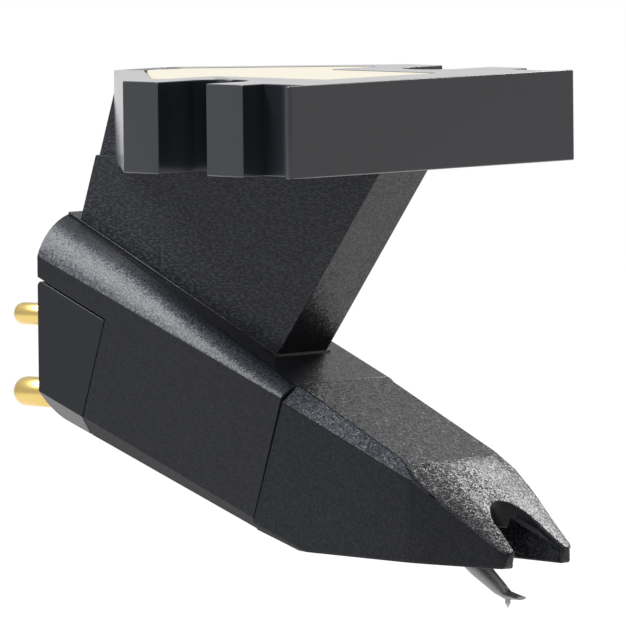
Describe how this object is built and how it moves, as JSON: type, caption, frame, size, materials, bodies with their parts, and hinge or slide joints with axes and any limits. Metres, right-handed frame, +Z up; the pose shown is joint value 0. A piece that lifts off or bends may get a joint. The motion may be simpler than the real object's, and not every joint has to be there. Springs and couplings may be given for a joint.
{
  "type": "turntable cartridge",
  "caption": "Moving-magnet turntable cartridge with a slotted mounting bracket, brass weight plate, sloping generator body, rear terminal pins and a pull-off wedge stylus unit.",
  "frame": {"origin": "on the top face of the mounting bracket, midway between the two screw slots", "axes": "+X forward to the stylus nose, +Y to the left, +Z up out of the top face"},
  "size_m": [0.0269, 0.0164, 0.0206],
  "materials": {
    "bracket_plastic": "satin moulded",
    "plate_brass": "polished",
    "body_plastic": "fine grained",
    "block_plastic": "smooth",
    "carrier_plastic": "plain moulded",
    "stylus_plastic": "grained with metallic flake",
    "pin_gold": "gold plated",
    "pole_iron": "annealed",
    "shield_metal": "rolled sheet",
    "bobbin_plastic": "plain moulded",
    "winding_copper": "enamelled wire",
    "tube_brass": "turned",
    "wire_steel": "drawn",
    "damper_rubber": "moulded",
    "magnet_metal": "ground",
    "cantilever_aluminium": "drawn tube",
    "diamond": "polished"
  },
  "bodies": {
    "cartridge_body": {"mounting_bracket": "bracket_plastic", "weight_plate": "plate_brass", "generator_housing": "body_plastic", "terminal_block": "block_plastic", "terminal_pin_left_upper": "pin_gold", "terminal_pin_left_lower": "pin_gold", "terminal_pin_right_upper": "pin_gold", "terminal_pin_right_lower": "pin_gold", "pole_carrier": "carrier_plastic", "pole_pin_left_upper": "pole_iron", "pole_pin_left_lower": "pole_iron", "pole_pin_right_upper": "pole_iron", "pole_pin_right_lower": "pole_iron", "coil_bobbin_left_upper": "bobbin_plastic", "coil_bobbin_left_lower": "bobbin_plastic", "coil_bobbin_right_upper": "bobbin_plastic", "coil_bobbin_right_lower": "bobbin_plastic", "coil_winding_left_upper": "winding_copper", "coil_winding_left_lower": "winding_copper", "coil_winding_right_upper": "winding_copper", "coil_winding_right_lower": "winding_copper", "rear_yoke": "pole_iron", "shield_sleeve": "shield_metal"},
    "stylus_unit": {"stylus_housing": "stylus_plastic", "stylus_holder": "carrier_plastic", "suspension_tube": "tube_brass", "wire_anchor": "tube_brass", "tie_wire": "wire_steel"},
    "suspension": {"damper_ring": "damper_rubber"},
    "cantilever_arm": {"cantilever": "cantilever_aluminium", "armature_magnet": "magnet_metal", "diamond_tip": "diamond"}
  },
  "joints": [
    {"name": "stylus_release", "type": "slide", "parent": "cartridge_body", "child": "stylus_unit", "axis": [0.9511, 0, -0.309], "range_m": [0, 0.011]},
    {"name": "cantilever_vertical", "type": "hinge", "parent": "stylus_unit", "child": "suspension", "pos_m": [0.0044, 0, -0.01665], "axis": [0, -1, 0], "range_deg": [-3, 5], "stiffness_Nm_per_rad": 0.0028, "deforming": ["tie_wire"]},
    {"name": "cantilever_lateral", "type": "hinge", "parent": "suspension", "child": "cantilever_arm", "pos_m": [0.0044, 0, -0.01665], "axis": [0.5736, 0, 0.8192], "range_deg": [-4, 4], "stiffness_Nm_per_rad": 0.0028, "deforming": ["tie_wire"]}
  ]
}
